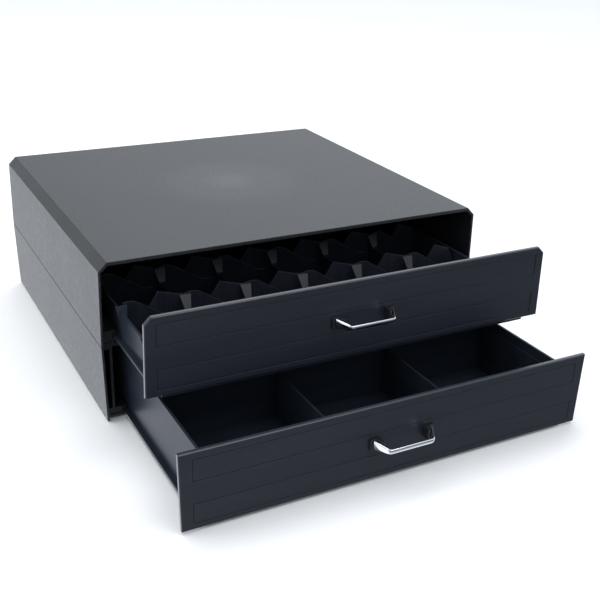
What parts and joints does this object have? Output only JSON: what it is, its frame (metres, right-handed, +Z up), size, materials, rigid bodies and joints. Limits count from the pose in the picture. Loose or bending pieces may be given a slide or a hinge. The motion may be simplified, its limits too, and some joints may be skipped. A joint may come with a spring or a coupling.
{
  "type": "two-drawer storage box",
  "caption": "Low countertop storage box with stacked pull-out drawers, a scalloped capsule rack above and divided bins below, and small bright bail handles.",
  "frame": {"origin": "middle of the footprint of the box that holds the object at rest, at the underside of the feet", "axes": "+Z up, -Y out of the front with the drawers, +X to the right as seen from the front"},
  "size_m": [0.35, 0.4922, 0.1373],
  "materials": {
    "casing_plastic": "black moulded plastic with a fine even grain",
    "inner_plastic": "smooth black moulded plastic inside the bays",
    "drawer_plastic": "satin blue-black moulded plastic",
    "front_plastic": "satin blue-black moulded plastic with engraved lines",
    "rack_plastic": "satin black moulded plastic",
    "handle_plastic": "black plastic with slight sheen",
    "handle_chrome": "bright chrome plate",
    "screw_steel": "zinc-plated steel",
    "feet_rubber": "soft black rubber"
  },
  "bodies": {
    "cabinet": {"upper_shell": "casing_plastic", "lower_shell": "casing_plastic", "mid_shelf": "inner_plastic", "lower_rail_left": "inner_plastic", "lower_rail_right": "inner_plastic", "upper_rail_left": "inner_plastic", "upper_rail_right": "inner_plastic", "rubber_feet": "feet_rubber", "base_screws": "screw_steel", "shelf_screws": "screw_steel"},
    "upper_drawer": {"upper_drawer_box": "drawer_plastic", "upper_drawer_front": "front_plastic", "rack_row_walls": "rack_plastic", "rack_column_wall_1": "rack_plastic", "rack_column_wall_2": "rack_plastic", "rack_column_wall_3": "rack_plastic", "rack_column_wall_4": "rack_plastic", "rack_column_wall_5": "rack_plastic", "upper_handle_bar": "handle_chrome", "upper_handle_foot_left": "handle_plastic", "upper_handle_foot_right": "handle_plastic", "upper_handle_screws": "screw_steel", "upper_front_screws": "screw_steel"},
    "lower_drawer": {"lower_drawer_box": "drawer_plastic", "lower_drawer_front": "front_plastic", "bin_wall_left": "drawer_plastic", "bin_wall_right": "drawer_plastic", "bin_wall_front": "drawer_plastic", "bin_wall_rear": "drawer_plastic", "lower_handle_bar": "handle_chrome", "lower_handle_foot_left": "handle_plastic", "lower_handle_foot_right": "handle_plastic", "lower_handle_screws": "screw_steel", "lower_front_screws": "screw_steel"}
  },
  "joints": [
    {"name": "upper_drawer_slide", "type": "slide", "parent": "cabinet", "child": "upper_drawer", "axis": [0, -1, 0], "range_m": [-0.0985, 0.1215]},
    {"name": "lower_drawer_slide", "type": "slide", "parent": "cabinet", "child": "lower_drawer", "axis": [0, -1, 0], "range_m": [-0.16, 0.06]}
  ]
}
